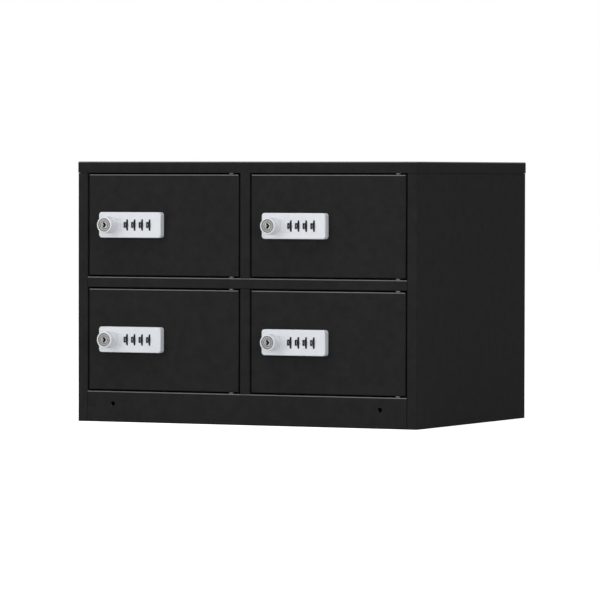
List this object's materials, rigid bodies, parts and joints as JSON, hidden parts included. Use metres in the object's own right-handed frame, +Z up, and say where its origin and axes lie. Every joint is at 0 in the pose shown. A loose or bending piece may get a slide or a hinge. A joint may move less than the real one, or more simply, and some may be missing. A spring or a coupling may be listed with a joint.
{
  "type": "valuables locker",
  "caption": "Small steel valuables locker, two rows of two flush doors, each with a dial combination lock and a key-override knob.",
  "frame": {"origin": "middle of the cabinet's footprint, on the floor", "axes": "+X to the right as seen from the front, +Y from the doors to the back, +Z up"},
  "size_m": [0.45, 0.344, 0.313],
  "materials": {
    "cabinet_paint": "fine-textured black powder coat, satin",
    "lock_silver": "pale silver-white lacquer on die-cast zinc, satin",
    "lock_black": "black moulded plastic, matt",
    "dial_black": "black moulded plastic with pale moulded numerals",
    "nickel": "satin nickel plate with turned rings",
    "zinc_steel": "zinc-plated steel, dull"
  },
  "bodies": {
    "root": {"top_cap": "cabinet_paint", "left_side_panel": "cabinet_paint", "right_side_panel": "cabinet_paint", "back_panel": "cabinet_paint", "shelf": "cabinet_paint", "floor_panel": "cabinet_paint", "centre_partitions": "cabinet_paint", "hinge_pins": "zinc_steel"},
    "door_lower_left": {"door_lower_left": "cabinet_paint", "lock_housing_lower_left": "lock_silver", "lock_back_case_lower_left": "lock_black", "dial_axle_lower_left": "zinc_steel", "lock_screws_lower_left": "zinc_steel"},
    "knob_lower_left": {"knob_lower_left": "lock_silver", "cylinder_core_lower_left": "nickel", "cam_lower_left": "zinc_steel"},
    "key_plug_lower_left": {"key_plug_lower_left": "nickel"},
    "dial_lower_left_1": {"dial_lower_left_1": "dial_black"},
    "dial_lower_left_2": {"dial_lower_left_2": "dial_black"},
    "dial_lower_left_3": {"dial_lower_left_3": "dial_black"},
    "dial_lower_left_4": {"dial_lower_left_4": "dial_black"},
    "door_lower_right": {"door_lower_right": "cabinet_paint", "lock_housing_lower_right": "lock_silver", "lock_back_case_lower_right": "lock_black", "dial_axle_lower_right": "zinc_steel", "lock_screws_lower_right": "zinc_steel"},
    "knob_lower_right": {"knob_lower_right": "lock_silver", "cylinder_core_lower_right": "nickel", "cam_lower_right": "zinc_steel"},
    "key_plug_lower_right": {"key_plug_lower_right": "nickel"},
    "dial_lower_right_1": {"dial_lower_right_1": "dial_black"},
    "dial_lower_right_2": {"dial_lower_right_2": "dial_black"},
    "dial_lower_right_3": {"dial_lower_right_3": "dial_black"},
    "dial_lower_right_4": {"dial_lower_right_4": "dial_black"},
    "door_upper_left": {"door_upper_left": "cabinet_paint", "lock_housing_upper_left": "lock_silver", "lock_back_case_upper_left": "lock_black", "dial_axle_upper_left": "zinc_steel", "lock_screws_upper_left": "zinc_steel"},
    "knob_upper_left": {"knob_upper_left": "lock_silver", "cylinder_core_upper_left": "nickel", "cam_upper_left": "zinc_steel"},
    "key_plug_upper_left": {"key_plug_upper_left": "nickel"},
    "dial_upper_left_1": {"dial_upper_left_1": "dial_black"},
    "dial_upper_left_2": {"dial_upper_left_2": "dial_black"},
    "dial_upper_left_3": {"dial_upper_left_3": "dial_black"},
    "dial_upper_left_4": {"dial_upper_left_4": "dial_black"},
    "door_upper_right": {"door_upper_right": "cabinet_paint", "lock_housing_upper_right": "lock_silver", "lock_back_case_upper_right": "lock_black", "dial_axle_upper_right": "zinc_steel", "lock_screws_upper_right": "zinc_steel"},
    "knob_upper_right": {"knob_upper_right": "lock_silver", "cylinder_core_upper_right": "nickel", "cam_upper_right": "zinc_steel"},
    "key_plug_upper_right": {"key_plug_upper_right": "nickel"},
    "dial_upper_right_1": {"dial_upper_right_1": "dial_black"},
    "dial_upper_right_2": {"dial_upper_right_2": "dial_black"},
    "dial_upper_right_3": {"dial_upper_right_3": "dial_black"},
    "dial_upper_right_4": {"dial_upper_right_4": "dial_black"}
  },
  "joints": [
    {"name": "door_lower_left_hinge", "type": "hinge", "parent": "root", "child": "door_lower_left", "pos_m": [-0.0195, -0.155, 0.0995], "axis": [0, 0, 1], "range_deg": [0, 105]},
    {"name": "knob_lower_left_turn", "type": "hinge", "parent": "door_lower_left", "child": "knob_lower_left", "pos_m": [-0.1765, -0.169, 0.0995], "axis": [0, 1, 0], "range_deg": [0, 90]},
    {"name": "key_plug_lower_left_turn", "type": "hinge", "parent": "knob_lower_left", "child": "key_plug_lower_left", "pos_m": [-0.1765, -0.1835, 0.0995], "axis": [0, 1, 0], "range_deg": [0, 90]},
    {"name": "dial_lower_left_1_spin", "type": "hinge", "parent": "door_lower_left", "child": "dial_lower_left_1", "pos_m": [-0.153, -0.1614, 0.0995], "axis": [1, 0, 0], "continuous": true},
    {"name": "dial_lower_left_2_spin", "type": "hinge", "parent": "door_lower_left", "child": "dial_lower_left_2", "pos_m": [-0.1429, -0.1614, 0.0995], "axis": [1, 0, 0], "continuous": true},
    {"name": "dial_lower_left_3_spin", "type": "hinge", "parent": "door_lower_left", "child": "dial_lower_left_3", "pos_m": [-0.1328, -0.1614, 0.0995], "axis": [1, 0, 0], "continuous": true},
    {"name": "dial_lower_left_4_spin", "type": "hinge", "parent": "door_lower_left", "child": "dial_lower_left_4", "pos_m": [-0.1227, -0.1614, 0.0995], "axis": [1, 0, 0], "continuous": true},
    {"name": "door_lower_right_hinge", "type": "hinge", "parent": "root", "child": "door_lower_right", "pos_m": [0.1985, -0.155, 0.0995], "axis": [0, 0, 1], "range_deg": [0, 105]},
    {"name": "knob_lower_right_turn", "type": "hinge", "parent": "door_lower_right", "child": "knob_lower_right", "pos_m": [0.0415, -0.169, 0.0995], "axis": [0, 1, 0], "range_deg": [0, 90]},
    {"name": "key_plug_lower_right_turn", "type": "hinge", "parent": "knob_lower_right", "child": "key_plug_lower_right", "pos_m": [0.0415, -0.1835, 0.0995], "axis": [0, 1, 0], "range_deg": [0, 90]},
    {"name": "dial_lower_right_1_spin", "type": "hinge", "parent": "door_lower_right", "child": "dial_lower_right_1", "pos_m": [0.065, -0.1614, 0.0995], "axis": [1, 0, 0], "continuous": true},
    {"name": "dial_lower_right_2_spin", "type": "hinge", "parent": "door_lower_right", "child": "dial_lower_right_2", "pos_m": [0.0751, -0.1614, 0.0995], "axis": [1, 0, 0], "continuous": true},
    {"name": "dial_lower_right_3_spin", "type": "hinge", "parent": "door_lower_right", "child": "dial_lower_right_3", "pos_m": [0.0852, -0.1614, 0.0995], "axis": [1, 0, 0], "continuous": true},
    {"name": "dial_lower_right_4_spin", "type": "hinge", "parent": "door_lower_right", "child": "dial_lower_right_4", "pos_m": [0.0953, -0.1614, 0.0995], "axis": [1, 0, 0], "continuous": true},
    {"name": "door_upper_left_hinge", "type": "hinge", "parent": "root", "child": "door_upper_left", "pos_m": [-0.0195, -0.155, 0.237], "axis": [0, 0, 1], "range_deg": [0, 105]},
    {"name": "knob_upper_left_turn", "type": "hinge", "parent": "door_upper_left", "child": "knob_upper_left", "pos_m": [-0.1765, -0.169, 0.237], "axis": [0, 1, 0], "range_deg": [0, 90]},
    {"name": "key_plug_upper_left_turn", "type": "hinge", "parent": "knob_upper_left", "child": "key_plug_upper_left", "pos_m": [-0.1765, -0.1835, 0.237], "axis": [0, 1, 0], "range_deg": [0, 90]},
    {"name": "dial_upper_left_1_spin", "type": "hinge", "parent": "door_upper_left", "child": "dial_upper_left_1", "pos_m": [-0.153, -0.1614, 0.237], "axis": [1, 0, 0], "continuous": true},
    {"name": "dial_upper_left_2_spin", "type": "hinge", "parent": "door_upper_left", "child": "dial_upper_left_2", "pos_m": [-0.1429, -0.1614, 0.237], "axis": [1, 0, 0], "continuous": true},
    {"name": "dial_upper_left_3_spin", "type": "hinge", "parent": "door_upper_left", "child": "dial_upper_left_3", "pos_m": [-0.1328, -0.1614, 0.237], "axis": [1, 0, 0], "continuous": true},
    {"name": "dial_upper_left_4_spin", "type": "hinge", "parent": "door_upper_left", "child": "dial_upper_left_4", "pos_m": [-0.1227, -0.1614, 0.237], "axis": [1, 0, 0], "continuous": true},
    {"name": "door_upper_right_hinge", "type": "hinge", "parent": "root", "child": "door_upper_right", "pos_m": [0.1985, -0.155, 0.237], "axis": [0, 0, 1], "range_deg": [0, 105]},
    {"name": "knob_upper_right_turn", "type": "hinge", "parent": "door_upper_right", "child": "knob_upper_right", "pos_m": [0.0415, -0.169, 0.237], "axis": [0, 1, 0], "range_deg": [0, 90]},
    {"name": "key_plug_upper_right_turn", "type": "hinge", "parent": "knob_upper_right", "child": "key_plug_upper_right", "pos_m": [0.0415, -0.1835, 0.237], "axis": [0, 1, 0], "range_deg": [0, 90]},
    {"name": "dial_upper_right_1_spin", "type": "hinge", "parent": "door_upper_right", "child": "dial_upper_right_1", "pos_m": [0.065, -0.1614, 0.237], "axis": [1, 0, 0], "continuous": true},
    {"name": "dial_upper_right_2_spin", "type": "hinge", "parent": "door_upper_right", "child": "dial_upper_right_2", "pos_m": [0.0751, -0.1614, 0.237], "axis": [1, 0, 0], "continuous": true},
    {"name": "dial_upper_right_3_spin", "type": "hinge", "parent": "door_upper_right", "child": "dial_upper_right_3", "pos_m": [0.0852, -0.1614, 0.237], "axis": [1, 0, 0], "continuous": true},
    {"name": "dial_upper_right_4_spin", "type": "hinge", "parent": "door_upper_right", "child": "dial_upper_right_4", "pos_m": [0.0953, -0.1614, 0.237], "axis": [1, 0, 0], "continuous": true}
  ]
}
